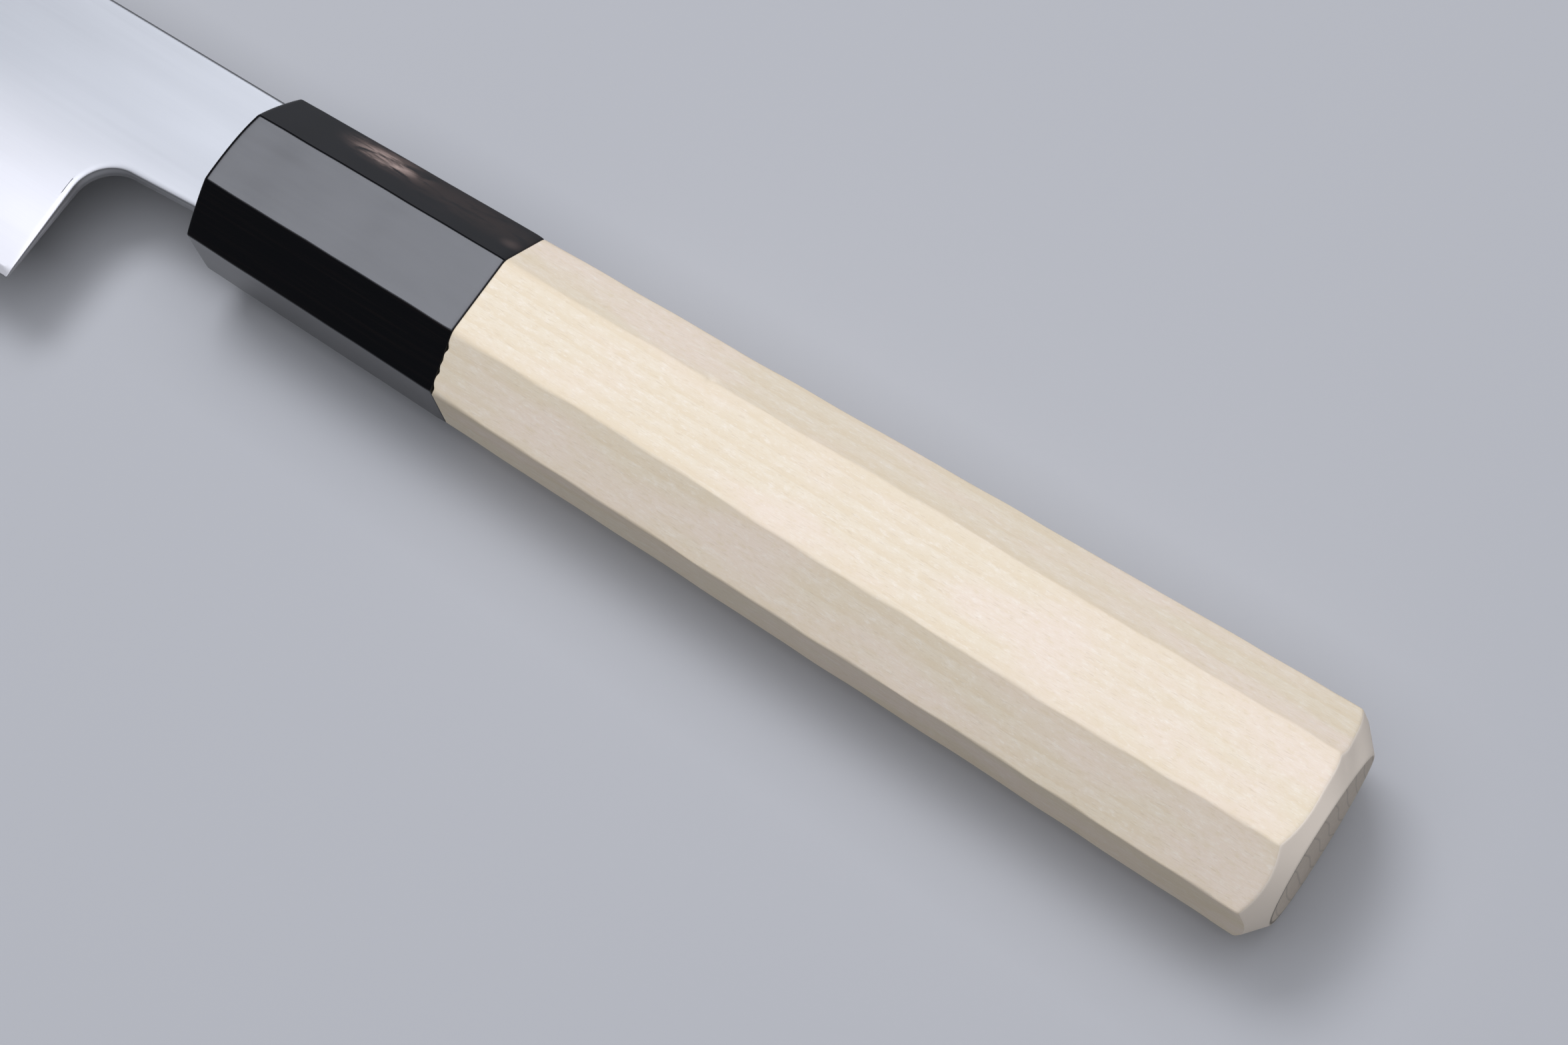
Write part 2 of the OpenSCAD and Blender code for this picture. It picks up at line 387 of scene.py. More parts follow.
seam_y, seam_z = shoulder_yz[-1].T
bites = CRUMBS[:, 1:] * np.exp(-((seam_y - CRUMBS[:, :1]) / CRUMB_L) ** 2)
crumbled = bites.sum(0) * (seam_z > UPPER_Z)
shoulder = with_x(ease_x[:, None] + crumbled, shoulder_yz)

body_x = np.linspace(BODY_START, BODY_END, BODY_RINGS)
dent_x = np.linspace(DENT[0] - DENT_ROOM, DENT[0] + DENT_ROOM, DENT_RINGS)
body_x = np.sort(np.append(body_x, dent_x))
body = with_x(body_x[:, None], octagon_rings(body_x, 0, wood_arris(body_x)))
body[..., 0] += crumbled * np.exp(-(body_x - FERRULE_L) / CRUMB_FADE)[:, None]
near_dent = np.exp(-(((body - DENT) / DENT_SIZE) ** 2).sum(-1))
body[..., 1:] *= 1 - DENT_DEPTH / ARRIS_REACH * near_dent[..., None]
print("rings in the body:", len(body_x))

# %% [markdown]
# ### The butt
#
# The butt's bevel was made by turning the handle against a sanding belt. That leaves a cone, and a cone
# cuts the arrises deeper than the middle of each face, so its border bows towards the butt on every face.
# A Bevel modifier would give eight flat strips instead, so the border is worked out from the cone. The end
# face keeps the cone's outline, which is nearly round. Its radius is written as a few cosines of the
# direction, a short Fourier series, because hand work isn't quite a circle.

# %% Outline of the end face, and the bevel's border
END_RADIUS = np.array([9.79, -0.38, 0.44, 0.15]) * MM     # weights of cos 0, cos t, cos 2t and cos 3t
CONE_SLOPE = 1.1           # how much the cone narrows per length
UNDERCUT = 0.8 * MM        # the border comes this much nearer the end on one arris
UNDERCUT_AT = (62.5, 14)   # the arris's direction, and how far the undercut spreads, in degrees

octagon = octagon_rings([TAPER_L], 0, WOOD_ARRIS)[0]
reach = np.hypot(octagon[:, 0], octagon[:, 1])
turn = np.arctan2(octagon[:, 1], octagon[:, 0])
end_reach = np.cos(turn[:, None] * np.arange(len(END_RADIUS))) @ END_RADIUS
end_outline = octagon * (end_reach / reach)[:, None]
undercut = UNDERCUT * np.exp(-((np.degrees(turn) - UNDERCUT_AT[0]) / UNDERCUT_AT[1]) ** 2)
border_x = HANDLE_L - (reach - end_reach) / CONE_SLOPE + undercut
bevel_mm = (HANDLE_L - border_x) / MM
print(f"the bevel is {bevel_mm.min():.1f} to {bevel_mm.max():.1f} mm long")

# %% Rings of the butt
RUN_UP_L = 2.6 * MM        # the rings start to lean towards the border this far before the taper's end
RUN_UP_RINGS, BEVEL_RINGS = 16, 21
CROWN = 0.12 * MM          # the end face is very slightly domed
END_SHARES = (0.99, 0.98, 0.965, 0.95, 0.93, 0.85, 0.7, 0.5, 0.3, 0.1)    # its rings, from the rim inwards

share = np.linspace(0, 1, RUN_UP_RINGS)[:, None]
run_up_x = border_x - (1 - share) * (RUN_UP_L + border_x - TAPER_L)
run_up = with_x(run_up_x, octagon_rings(run_up_x.mean(1), 0, WOOD_ARRIS))
share = np.linspace(0, 1, BEVEL_RINGS + 1)[1:, None]
bevel_x = (1 - share) * border_x + share * (HANDLE_L - CROWN)
bevel = with_x(bevel_x, (1 - share)[..., None] * run_up[-1, :, 1:] + share[..., None] * end_outline)
shrink = np.array(END_SHARES)[:, None]
end_face = with_x(HANDLE_L - CROWN * shrink ** 2, shrink[..., None] * end_outline)
butt = smoothed(np.concatenate([run_up, bevel, end_face]), passes=3)

# %% Build the handle
BEVEL_CUT = 0.6            # how far the bevel cuts across the grain, if the end face is 1
# The rim attribute paints a shadow: a thin dark line just inside the end face's rim, on the edge's half.
RIM_RINGS = slice(1 - len(end_face), 3 - len(end_face))
RIM_SHADOW_REACH = 9 * MM         # the painted shadow line is darkest this far to the edge's side

handle_rings = np.concatenate([slot, tenon, shoulder, body, butt])
handle = ring_surface("handle_wood", handle_rings)
cut_across = np.zeros(handle_rings.shape[:2])
cut_across[-len(bevel) - len(end_face):] = BEVEL_CUT
cut_across[-len(end_face):] = 1
cut_across[len(slot) - 1:len(slot) + 2] = 1            # the front of the tenon
rim = np.zeros(handle_rings.shape[:2])
rim[RIM_RINGS] = 1
rim *= np.clip(-handle_rings[..., 1] / RIM_SHADOW_REACH, 0, 1)
worn = np.zeros(handle_rings.shape[:2])
worn[len(slot) + len(tenon):] = near_arris ** 6        # a narrow band along each arris
add_attribute(handle, "cut_across", cut_across)
add_attribute(handle, "rim", rim)
add_attribute(handle, "worn", worn)
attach(handle, "root")
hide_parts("handle")

# %% [markdown]
# ## The horn ferrule
#
# A collar around the tenon. It could be a tube with a Solidify modifier, but its front isn't flat: it was
# turned to a low dome, which cuts the eight faces in shallow arcs. So its surface is one loop: out over
# the front face, back along the eight faces, in over the rear face and forward through the bore. Polishing
# has rolled the faces over a little just before the seam.

# %% Front of the ferrule
HORN_ARRIS = 0.4 * MM
DOME_MID = np.array([-1.5, 0]) * MM    # the dome is a little off the axis
DOME_R = (9.0 * MM, 12.3 * MM)   # the front is flat within the first radius
DOME_L = 0.95 * MM         # how far the dome falls back at the second
DOME_POWER = 1.5           # 1 would be a cone, 2 a round dome
DOME_SHARES = (0.76, 0.82, 0.87, 0.91, 0.94, 0.955, 0.97, 0.985, 1.0)     # its rings, out to the rim
RIM_STEP = 0.15 * MM       # spacing of the first rings behind the rim
RIM_COUNT = 8
RIM_GROWTH = 1.25          # above 1 the steps grow wider away from the rim

front_outline = octagon_rings([0.0], 0, HORN_ARRIS)[0]
dome_yz = np.array(DOME_SHARES)[:, None, None] * front_outline
dome_share = (np.linalg.norm(dome_yz - DOME_MID, axis=-1) - DOME_R[0]) / (DOME_R[1] - DOME_R[0])
dome = with_x(DOME_L * np.clip(dome_share, 0, None) ** DOME_POWER, dome_yz)
behind = RIM_STEP * np.arange(1, RIM_COUNT + 1) ** RIM_GROWTH
rim_x = dome[-1, :, 0] + behind[:, None]
rim_rings = with_x(rim_x, octagon_rings(behind, 0, HORN_ARRIS))
front = smoothed(np.concatenate([dome, rim_rings]), passes=2)
print(f"the front falls back by up to {dome[..., 0].max() / MM:.2f} mm")

# %% Sleeve, seam and bore
SLEEVE_START = 4 * MM
SLEEVE_RINGS, ROLL_RINGS = 40, 9
ROLL_L = 1.3 * MM          # length of the roll-over before the seam
ROLL_IN = 0.05 * MM        # and its depth
SEAM_EASE = 0.18 * MM      # rounding of the rear edge
BORE_EASE = (0.15 * MM, 0.1 * MM)      # how far the bore opens at its front and rear edges

sleeve_x = np.linspace(SLEEVE_START, FERRULE_L - ROLL_L, SLEEVE_RINGS)
sleeve = with_x(sleeve_x[:, None], octagon_rings(sleeve_x, 0, HORN_ARRIS))
roll = np.linspace(0, 1, ROLL_RINGS + 1)[1:]
roll_x = FERRULE_L - ROLL_L + (ROLL_L - SEAM_EASE) * roll
rolled = with_x(roll_x[:, None], octagon_rings(roll_x, ROLL_IN * roll ** 2, HORN_ARRIS))
quarter = np.linspace(0, np.pi / 2, QUARTER_STEPS)[1:]
seam_x = FERRULE_L - SEAM_EASE * (1 - np.sin(quarter))
seam_in = ROLL_IN + SEAM_EASE * (1 - np.cos(quarter))
seam = with_x(seam_x[:, None], octagon_rings(seam_x, seam_in, HORN_ARRIS))
bore_x = np.array([FERRULE_L, FERRULE_L - BORE_EASE[1], END_RING, 0.0])
bore_r = np.array([BORE_R + BORE_EASE[1], BORE_R, BORE_R, BORE_R + BORE_EASE[0]])
bore = with_x(bore_x[:, None], circle_rings(bore_r))

ferrule_rings = np.concatenate([front, sleeve, rolled, seam, bore])
ferrule = ring_surface("ferrule_horn", ferrule_rings, looped=True)
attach(ferrule, "root")
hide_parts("ferrule")

# %% [markdown]
# ## The blade
#
# The real blade is one forged piece of steel, ground thin on both sides. It could be a thin plate with a
# Bevel modifier, but a grind isn't a bevel: it changes over the whole face. So the surface is worked out
# in two steps, first the outlines and then the thickness.
#
# Seen from the side the blade has two outlines: the spine above, and below it the neck's underside, the
# notch, the heel and the cutting edge. Each ring joins one point of the lower outline to one of the upper
# outline, so the rings fan out around the notch and the heel, and no ring has to jump.
#
# The thickness is a formula of the place: it depends on how far a point is from the edge and from the
# spine. The grind is convex, fullest near the spine and steeper towards the edge, and the whole blade
# thins towards the tip. At the very edge a small bevel takes over.

# %% Arcs of the blade's outline
HEEL_X = -NECK_L
NECK_Y = SPINE_Y - NECK_H
ROOT_Y = NECK_Y - NECK_RISE
TIP = np.array([TIP_X, SPINE_Y - TIP_DROP])


def arc_radius(reach, normal):
    """Radius of the arc that leaves a point square to normal and passes the point at reach from it.

    It is the square of the reach's length over twice its part along the normal.
    """
    return reach @ reach / (2 * reach @ normal)


belly_start = np.array([HEEL_X - FLAT_L, EDGE_Y])
sweep_start = np.array([TIP_X + SWEEP_L, EDGE_Y + BELLY_RISE])
BELLY_R = arc_radius(sweep_start - belly_start, np.array([0, 1]))
belly_centre = belly_start + [0, BELLY_R]
sweep_normal = (belly_centre - sweep_start) / BELLY_R
SWEEP_R = arc_radius(TIP - sweep_start, sweep_normal)
sweep_centre = sweep_start + SWEEP_R * sweep_normal
DROP_X = TIP_X + DROP_L
DROP_R = arc_radius(np.array([-DROP_L, -TIP_DROP]), np.array([0, -1]))
drop_centre = np.array([DROP_X, SPINE_Y - DROP_R])
print(f"radii: belly {BELLY_R / MM:.0f} mm, sweep {SWEEP_R / MM:.0f} mm, spine {DROP_R / MM:.0f} mm")


def edge_y(x):
    """Height of the cutting edge at x: a straight line, then two arcs, by Pythagoras from their centres."""
    belly = belly_centre[1] - np.sqrt(np.maximum(BELLY_R ** 2 - (x - belly_centre[0]) ** 2, 0))
    sweep = sweep_centre[1] - np.sqrt(np.maximum(SWEEP_R ** 2 - (x - sweep_centre[0]) ** 2, 0))
    return np.where(x > belly_start[0], EDGE_Y, np.where(x > sweep_start[0], belly, sweep))


def spine_y(x):
    """Height of the spine at x: a straight line, then an arc down to the tip."""
    drop = drop_centre[1] + np.sqrt(DROP_R ** 2 - (np.minimum(x, DROP_X) - DROP_X) ** 2)
    return np.where(x > DROP_X, SPINE_Y, drop)

# %% Thickness of the blade
FULLNESS = 1.7             # 1 is a flat wedge, more is a fuller convex grind
EDGE_HALF = 0.006 * MM     # half the thickness of the edge itself
TINY = 1e-9                # keeps a share from dividing by zero


def edge_distance(p):
    """Distance of points from the cutting edge: down to the line, or an arc's radius less the reach."""
    x, y = p[..., 0], p[..., 1]
    belly = BELLY_R - np.linalg.norm(p - belly_centre, axis=-1)
    sweep = SWEEP_R - np.linalg.norm(p - sweep_centre, axis=-1)
    return np.where(x > belly_start[0], y - EDGE_Y, np.where(x > sweep_start[0], belly, sweep))


def spine_distance(p):
    """Distance of points from the spine, in the same way."""
    drop = DROP_R - np.linalg.norm(p - drop_centre, axis=-1)
    return np.where(p[..., 0] > DROP_X, SPINE_Y - p[..., 1], drop)


def ground_half(p):
    """Half thickness of the grind: from the edge's to the spine's as 1 - (1 - share) ** FULLNESS.

    The share is the distance from the edge over the sum of the distances from edge and spine.
    """
    to_edge = np.maximum(edge_distance(p), 0)
    to_spine = np.maximum(spine_distance(p), 0)
    share = to_edge / np.maximum(to_edge + to_spine, TINY)
    full = (SPINE_T + (TIP_T - SPINE_T) * p[..., 0] / TIP_X) / 2
    return EDGE_T / 2 + (full - EDGE_T / 2) * (1 - (1 - share) ** FULLNESS)


def half_thickness(p):
    """The grind, or the edge's own bevel where that is thinner: a straight slope from the edge."""
    bevel_half = EDGE_HALF + np.maximum(edge_distance(p), 0) * np.tan(EDGE_ANGLE)
    return np.minimum(ground_half(p), bevel_half)


middle = np.array([TIP_X / 2, 0.0])
print(f"half way along, the blade is {2 * half_thickness(middle) / MM:.1f} mm thick at the handle's axis")

# %% Points along the two outlines
NECK_POINTS, NOTCH_POINTS, CHOIL_POINTS, EDGE_POINTS = 16, 25, 26, 299
LAST_POINTS = np.array([0.45, 0.2, 0.05]) * MM     # three more on the edge, this far from the tip
EDGE_CROWDING = 1.15       # above 1 the edge's points stand closer near the heel
LEAN = 13.0 * MM           # how far ahead of the heel its ring meets the spine
LEAN_CROWDING = 1.3        # above 1 the spine's points behind that one stand closer near the handle


def line(start, end, steps):
    """Points from start up to, and without, end: (1 - share) times start plus share times end."""
    share = np.arange(steps)[:, None] / steps
    return (1 - share) * np.array(start) + share * np.array(end)


notch_turn = np.linspace(np.pi / 2, np.pi, NOTCH_POINTS + 1)[:-1, None]
notch_centre = np.array([HEEL_X + NOTCH_R, ROOT_Y - NOTCH_R])
notch = notch_centre + NOTCH_R * np.concatenate([np.cos(notch_turn), np.sin(notch_turn)], 1)
under_neck = line((0, NECK_Y), (HEEL_X + NOTCH_R, ROOT_Y), NECK_POINTS)
choil = line((HEEL_X, ROOT_Y - NOTCH_R), (HEEL_X, EDGE_Y), CHOIL_POINTS)
edge_x = HEEL_X + (TIP_X - HEEL_X) * np.linspace(0, 1, EDGE_POINTS + 1)[:-1] ** EDGE_CROWDING
edge_x = np.append(edge_x, TIP_X + LAST_POINTS)
edge = np.stack([edge_x, edge_y(edge_x)], -1)
lower = np.concatenate([under_neck, notch, choil, edge])

heel = len(lower) - len(edge)                # number of the heel's point
ahead = np.linspace(0, 1, heel, endpoint=False) ** LEAN_CROWDING
upper_x = np.concatenate([
    ahead * (HEEL_X - LEAN),
    edge_x - LEAN * ((edge_x - TIP_X) / (HEEL_X - TIP_X)) ** 2,
])
upper = np.stack([upper_x, spine_y(upper_x)], -1)
print("rings in the blade:", len(lower))

# %% [markdown]
# The outlines are not left sharp. The spine and the neck's underside are rounded, the notch and the choil
# have an eased edge that fades out towards the heel. A Bevel modifier has one width for all of them, so
# each easing is made here, as a strip of a width and a depth along its outline, drawn inwards. At the
# heel's corner the strip's inner line has to run to the corner's diagonal, so its direction turns
# smoothly from one side to the other.

# %% Which way is inwards
TURN_L = 3.5 * MM          # length over which the inward direction turns at the heel


def inward(points, side):
    """Unit vectors square to an outline, pointing into the blade.

    The outline's direction is the difference of neighbouring points, turned by a quarter turn.
    """
    along = np.gradient(points, axis=0)
    along /= np.linalg.norm(along, axis=1)[:, None]
    return side * np.stack([-along[:, 1], along[:, 0]], -1)


def fade(values, start, end):
    """0 at start, 1 at end, smooth in between: 3 t squared less 2 t cubed."""
    t = np.clip((values - start) / (end - start), 0, 1)
    return t * t * (3 - 2 * t)


on_neck = slice(0, NECK_POINTS)
on_choil = slice(NECK_POINTS + NOTCH_POINTS, heel)
lower_in = inward(lower, -1)
lower_in[on_choil, 0] = -1
lower_in[on_choil, 1] = 1 - fade(choil[:, 1], EDGE_Y, EDGE_Y + TURN_L)
lower_in[heel:] = inward(edge, -1)
lower_in[heel:][edge_x > belly_start[0]] = [0, 1]
lower_in[heel:, 0] -= 1 - fade(-edge_x, -HEEL_X, -HEEL_X + TURN_L)
upper_in = inward(upper, 1)
print(f"at the heel the strip points along {lower_in[heel].round(2)}")

# %% Width and depth of the easing
EASE_W = 0.8 * MM          # width of the easing on the notch and the choil
NECK_EASE_W = 0.55 * MM    # its width where the neck leaves the ferrule
EASE_D = 0.15 * MM
FADE_L = 12 * MM           # length over which its depth fades out above the heel
SPINE_EASE = 0.4 * MM      # width and depth on the spine
MOST_LOW, MOST_HIGH = 0.35, 0.3        # a strip is never wider than this share of the blade

width = np.linalg.norm(upper - lower, axis=1)
bevel_width = np.full(len(lower), EASE_W)
for _ in range(4):         # the bevel ends where the grind is as thick as it is; each pass comes closer
    bevel_width = ground_half(lower + lower_in * bevel_width[:, None]) / np.tan(EDGE_ANGLE)
lower_width = bevel_width.copy()
lower_width[:heel] = EASE_W
lower_width[on_neck] = NECK_EASE_W + (EASE_W - NECK_EASE_W) * np.linspace(0, 1, NECK_POINTS)
lower_width = np.minimum(lower_width, MOST_LOW * width)
lower_depth = np.zeros(len(lower))
lower_depth[:heel] = EASE_D
lower_depth[on_choil] *= fade(choil[:, 1], EDGE_Y, EDGE_Y + FADE_L)
upper_width = np.minimum(SPINE_EASE, MOST_HIGH * width)
upper_depth = upper_width
print(f"the edge's bevel is {bevel_width[heel] / MM:.2f} mm wide at the heel")

# %% Rings of the blade
EASE_COLUMNS, FACE_COLUMNS = 7, 34
ease_share = np.linspace(0, 1, EASE_COLUMNS)
ease_drop = 1 - np.sqrt(1 - (1 - ease_share) ** 2)     # a quarter of an ellipse


def blade_rings_from(low_side, high_side, half_of):
    """Closed rings from the lower outline over the top side to the upper outline and back below.

    A side is its points, their inward vectors, and the easing's widths and depths. On each side of the
    ring there is a strip of easing, then the face, then the other strip. A point's height is the half
    thickness at its place less the easing there, and the lower half mirrors the upper one.
    """
    low, low_in, low_width, low_depth = low_side
    high, high_in, high_width, high_depth = high_side
    low_step, high_step = low_in * low_width[:, None], high_in * high_width[:, None]
    strip_low = low[:, None] + low_step[:, None] * ease_share[:, None]
    strip_high = high[:, None] + high_step[:, None] * ease_share[::-1, None]
    share = eased(np.linspace(0, 1, FACE_COLUMNS + 2))[1:-1, None]
    face = (low + low_step)[:, None] * (1 - share) + (high + high_step)[:, None] * share
    xy = np.concatenate([strip_low, face, strip_high], 1)
    drop = np.concatenate([
        low_depth[:, None] * ease_drop,
        np.zeros((len(low), FACE_COLUMNS)),
        high_depth[:, None] * ease_drop[::-1],
    ], 1)
    half = np.maximum(half_of(xy) - drop, EDGE_HALF)
    top = np.concatenate([xy, half[..., None]], -1)
    below = np.concatenate([xy, -half[..., None]], -1)[:, ::-1]
    return np.concatenate([top, below], 1)


steel = blade_rings_from(
    (lower, lower_in, lower_width, lower_depth), (upper, upper_in, upper_width, upper_depth), half_thickness)
print("points around the blade:", steel.shape[1])

# %% The tang and its shoulders
TANG_EASE_W, TANG_EASE_D = 0.3 * MM, 0.2 * MM
TANG_END = 0.6 * MM        # the end's corners are cut off by this much
SHOULDER_L = 1.0 * MM      # the last ring before the blade
FAR = 0.03                 # the tang counts as this far from the edge


def tang_half(xy):
    """Half thickness of the tang, which falls in a straight line towards its end."""
    return (TANG_T[0] + (TANG_T[1] - TANG_T[0]) * xy[..., 0] / TANG_L) / 2


tang_x = np.array([TANG_L, TANG_L - TANG_END, TANG_L / 2, SHOULDER_L, 0.0])
tang_half_h = (TANG_H[0] + (TANG_H[1] - TANG_H[0]) * tang_x / TANG_L) / 2
tang_half_h[0] -= TANG_END
up = np.tile([0.0, 1.0], (len(tang_x), 1))
tang_width = np.full(len(tang_x), TANG_EASE_W)
tang_depth = np.full(len(tang_x), TANG_EASE_D)
tang = blade_rings_from(
    (np.stack([tang_x, -tang_half_h], -1), up, tang_width, tang_depth),
    (np.stack([tang_x, tang_half_h], -1), -up, tang_width, tang_depth), tang_half)

blade = ring_surface("blade_steel", np.concatenate([tang, steel]))
steel_to_edge = np.maximum(edge_distance(steel[..., :2]), 0)
to_edge = np.concatenate([np.full(tang.shape[:2], FAR), steel_to_edge])
add_attribute(blade, "edge_distance", to_edge / MM)
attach(blade, "root")
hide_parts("blade")

# %% [markdown]
# ## The bedding resin
#
# The resin is poured around the tang and cures flush with the tenon, a little sunken in the middle of
# each gap. It could be the slot's shape less the tang's, with a Boolean modifier, but two walls this close
# are easier to keep closed as one surface. It is a sleeve around the tang with a cup at its end, so its
# profile runs from the tang's end along the tang to the mouth, and back along the slot's wall.

# %% Profile of the resin
FILM = 0.005 * MM          # the resin stays this far clear of the wood and of the steel
CUP = 0.02 * MM            # and this far beyond the tang's end
SUNK = 0.08 * MM           # how far the mouth is sunken
MOUTH_RING = 0.25 * MM     # a ring this close to the mouth keeps the walls' shading even

skin_x = np.array([0.0, MOUTH_RING, TANG_L / 2, TANG_L + BED_END - END_RING, TANG_L + BED_END])
outside = with_x(skin_x[:, None], slot_rings(skin_x, BED_GAP - FILM))
bottom = outside[-1:] * [1, 0.5, 0.5]                  # a ring of half the size closes each end neatly
inside_x = np.array([TANG_L + CUP, TANG_L / 2, MOUTH_RING, 0.0])
inside_end = with_x(inside_x[:1, None], slot_rings([TANG_L], FILM) * 0.5)
inside = with_x(inside_x[:, None], slot_rings(np.minimum(inside_x, TANG_L), FILM))
mouth_grow = BED_GAP * np.array([[0.3], [0.7]])        # two rings across the gap
mouth = with_x(SUNK, slot_rings([0.0, 0.0], mouth_grow))
resin = ring_surface("bedding_resin", np.concatenate([inside_end, inside, mouth, outside, bottom]))
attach(resin, "root")
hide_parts("tang_bedding")

# %% [markdown]
# ## Shader maths
#
# A material is a graph of nodes, and a graph is tedious to write. The class below wraps one output of a
# node, so that a Python expression such as 1 - mask * 0.5 adds the Math nodes that work it out.

# %% Sockets that do arithmetic
class Wire:
    """One output of a node. Arithmetic on wires and numbers adds Math nodes."""

    def __init__(self, paint, socket):
        self.paint = paint
        self.socket = socket

    def math(self, operation, a, b):
        """Adds a Math node that works out one operation on a and b."""
        return self.paint.node("ShaderNodeMath", {"operation": operation}, {0: a, 1: b})

    def __add__(self, other):
        return self.math("ADD", self, other)

    def __sub__(self, other):
        return self.math("SUBTRACT", self, other)

    def __rsub__(self, other):
        return self.math("SUBTRACT", other, self)

    def __mul__(self, other):
        return self.math("MULTIPLY", self, other)

    __radd__, __rmul__ = __add__, __mul__

    def smooth(self, low, high):
        """0 where this is below low, 1 above high, and smooth in between. low may be above high."""
        return self.paint.node("ShaderNodeMapRange", {"interpolation_type": "SMOOTHSTEP"},
                               {"Value": self, "From Min": low, "From Max": high})

# %% A material and its nodes
COLOUR_A, COLOUR_B, COLOUR_OUT = 6, 7, 2     # the Mix node's sockets for colours


class Paint:
    """A material on a Principled shader, and one way to add any node to it."""

    def __init__(self, name, **fixed):
        self.material = bpy.data.materials.new(name)
        self.material.use_nodes = True
        self.tree = self.material.node_tree
        self.shader = self.tree.nodes["Principled BSDF"]
        for socket, value in fixed.items():
            self.shader.inputs[socket.replace("_", " ")].default_value = value

    def put(self, socket, value):
        """Links a wire to an input, or sets the input to a value."""
        if isinstance(value, Wire):
            self.tree.links.new(value.socket, socket)
        else:
            socket.default_value = value

    def node(self, kind, settings, inputs, output=0):
        """Adds a node: first its settings, then its inputs by name or number. Returns one output."""
        made = self.tree.nodes.new(kind)
        for key, value in settings.items():
            setattr(made, key, value)
        for key, value in inputs.items():
            self.put(made.inputs[key], value)
        return Wire(self, made.outputs[output])

    def place(self, scale, move):
        """Place on the piece in millimetres from ORIGIN and move, stretched by scale along each axis."""
        raw = self.node("ShaderNodeTexCoord", {}, {}, output="Object")
        local = self.node("ShaderNodeVectorMath", {"operation": "SUBTRACT"},
                          {0: raw, 1: tuple(ORIGIN + np.array(move) * MM)})
        return self.node("ShaderNodeVectorMath", {"operation": "MULTIPLY"},
                         {0: local, 1: tuple(s / MM for s in scale)})

    def distance(self, scale, centre):
        """Distance from a centre in millimetres, with each axis stretched by its scale."""
        return self.node("ShaderNodeVectorMath", {"operation": "LENGTH"},
                         {0: self.place(scale, centre)}, output="Value")

    def noise(self, scale, detail, move=(0, 0, 0), rough=0.5, twist=0.0):
        """Noise from 0 to 1 with its own number of features per millimetre along x, y and z."""
        return self.node("ShaderNodeTexNoise", {},
                         {"Vector": self.place(scale, move), "Scale": 1.0, "Detail": detail,
                          "Roughness": rough, "Distortion": twist})

    def attribute(self, name):
        """A number stored on the piece's points."""
        return self.node("ShaderNodeAttribute", {"attribute_name": name}, {}, output="Fac")

    def blend(self, factor, a, b):
        """Colour a where the factor is 0, b where it is 1."""
        return self.node("ShaderNodeMix", {"data_type": "RGBA"},
                         {0: factor, COLOUR_A: a, COLOUR_B: b}, output=COLOUR_OUT)

    def layers(self, ground, layers):
        """A ground colour with layers over it, each a mask, a strength and a colour."""
        for mask, strength, colour in layers:
            ground = self.blend(mask * strength, ground, colour)
        return ground

    def bump(self, height, distance):
        """Adds relief to the shader's normal: the height from 0 to 1 times a distance in metres."""
        normal = self.node("ShaderNodeBump", {}, {"Height": height, "Distance": distance, "Strength": 1.0})
        self.put(self.shader.inputs["Normal"], normal)

    def finish(self, piece, colour, roughness):
        """Sends colour and roughness to the shader and gives the piece this material."""
        self.put(self.shader.inputs["Base Color"], colour)
        self.put(self.shader.inputs["Roughness"], roughness)
        piece.data.materials.clear()
        piece.data.materials.append(self.material)
        print(f"{self.material.name}: {len(self.tree.nodes)} nodes")

# %% [markdown]
# ## Magnolia wood
#
# Magnolia is pale and even, and its figure is quiet. Blender's Wave texture could draw straight grain, but
# it wouldn't turn into rings on the end face. The board was cut so that the growth rings stand almost
# square to the broad faces. They show there as faint bands along the grain, and at the butt as a row of
# thin dark lines. So one ring pattern, worked out from the distance to the tree's heart, serves every face.
#
# On top of it come the things seen close up: a silky mottling, short dark pores and light flecks
# along the grain, and a warmer tone where hands and sandpaper have worn the arrises. The bevel cuts the
# fibres at a slant and the end face cuts them across, so both have tones of their own; the bevel's is
# also made paler as painted light from the butt's side. A thin painted shadow line runs just inside the
# end face's rim, on the edge's side.

# %% Growth rings
HEART = (0, 113, 24)       # the tree's heart, in mm from the handle's axis
RING_L = 1.85              # width of a growth ring in mm
LEAN_L = 900               # the grain leans by one mm in this length
WANDER = 1.5               # how many rings a ring may wander

wood = Paint("magnolia_wood", Specular_IOR_Level=0.3)
wander = wood.noise((0.012, 0.07, 0.07), detail=1)
ring_count = wood.distance((1 / LEAN_L, 1, 1), HEART) * (1 / RING_L) + wander * WANDER
ring_phase = wood.node("ShaderNodeMath", {"operation": "FRACT"}, {0: ring_count})
late_wood = ring_phase.smooth(0.25, 0.95) * ring_phase.smooth(1.0, 0.97)
ring_line = ring_phase.smooth(0.80, 0.94) * ring_phase.smooth(1.0, 0.96)
print("rings across the handle:", round((butt_half[0] * 2 / MM) / RING_L))

# %% The wood's colour and relief
CREAM = (0.835, 0.724, 0.545, 1)
WARM = (0.79, 0.655, 0.455, 1)
ROSY = (0.86, 0.725, 0.580, 1)
PORE = (0.60, 0.475, 0.330, 1)
FLECK = (0.93, 0.850, 0.720, 1)
ACROSS = (0.66, 0.56, 0.445, 1)        # end grain
SLANT_AND_LIGHT = (0.96, 0.84, 0.69, 1)          # the bevel: its slant-grain tone, made paler as painted light from the butt's side
RING_DARK = (0.36, 0.31, 0.25, 1)
RIM_SHADOW = (0.16, 0.14, 0.11, 1)
GRAIN_RELIEF = 0.010 * MM

